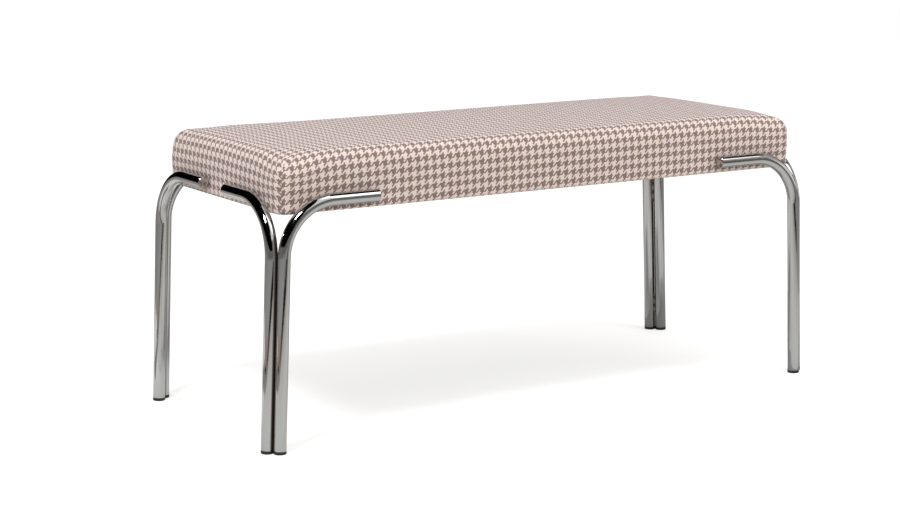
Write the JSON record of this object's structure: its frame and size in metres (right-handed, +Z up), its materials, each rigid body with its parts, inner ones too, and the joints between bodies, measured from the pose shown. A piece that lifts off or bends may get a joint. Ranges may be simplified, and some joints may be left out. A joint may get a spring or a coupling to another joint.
{
  "type": "luggage bench",
  "caption": "Upholstered slab bench for luggage on paired bent chromed tube legs with push-in foot plugs.",
  "frame": {"origin": "on the floor, below the middle of the seat", "axes": "+X along the bench, +Y from the front long side to the back, +Z up"},
  "size_m": [1.07, 0.4402, 0.461],
  "materials": {
    "chromed_steel": "bright chrome plate",
    "black_plastic": "moulded, satin",
    "zinc_steel": "zinc plated",
    "softwood": "planed pine",
    "beech": "fluted beech dowel",
    "plywood": "unfinished plywood",
    "foam": "polyurethane foam, 35 kg/m3",
    "houndstooth_fabric": "woven houndstooth in cream and mauve brown",
    "black_dust_cloth": "spunbonded cloth"
  },
  "bodies": {
    "root": {"leg_front_left_long_side": "chromed_steel", "leg_front_left_short_side": "chromed_steel", "leg_front_right_long_side": "chromed_steel", "leg_front_right_short_side": "chromed_steel", "leg_back_left_long_side": "chromed_steel", "leg_back_left_short_side": "chromed_steel", "leg_back_right_long_side": "chromed_steel", "leg_back_right_short_side": "chromed_steel", "weld_bead_front_left_lower": "chromed_steel", "weld_bead_front_left_upper": "chromed_steel", "weld_bead_front_right_lower": "chromed_steel", "weld_bead_front_right_upper": "chromed_steel", "weld_bead_back_left_lower": "chromed_steel", "weld_bead_back_left_upper": "chromed_steel", "weld_bead_back_right_lower": "chromed_steel", "weld_bead_back_right_upper": "chromed_steel", "arm_end_caps": "chromed_steel", "foot_plugs": "black_plastic", "arm_inserts": "zinc_steel", "arm_washers": "zinc_steel", "arm_bolts": "zinc_steel", "back_rail": "softwood", "front_rail": "softwood", "right_end_rail": "softwood", "left_end_rail": "softwood", "right_cross_member": "softwood", "left_cross_member": "softwood", "corner_block_front_left": "softwood", "corner_block_front_right": "softwood", "corner_block_back_left": "softwood", "corner_block_back_right": "softwood", "frame_dowels": "beech", "seat_deck": "plywood", "foam_pad": "foam", "fabric_cover": "houndstooth_fabric", "dust_cover": "black_dust_cloth"}
  },
  "joints": []
}
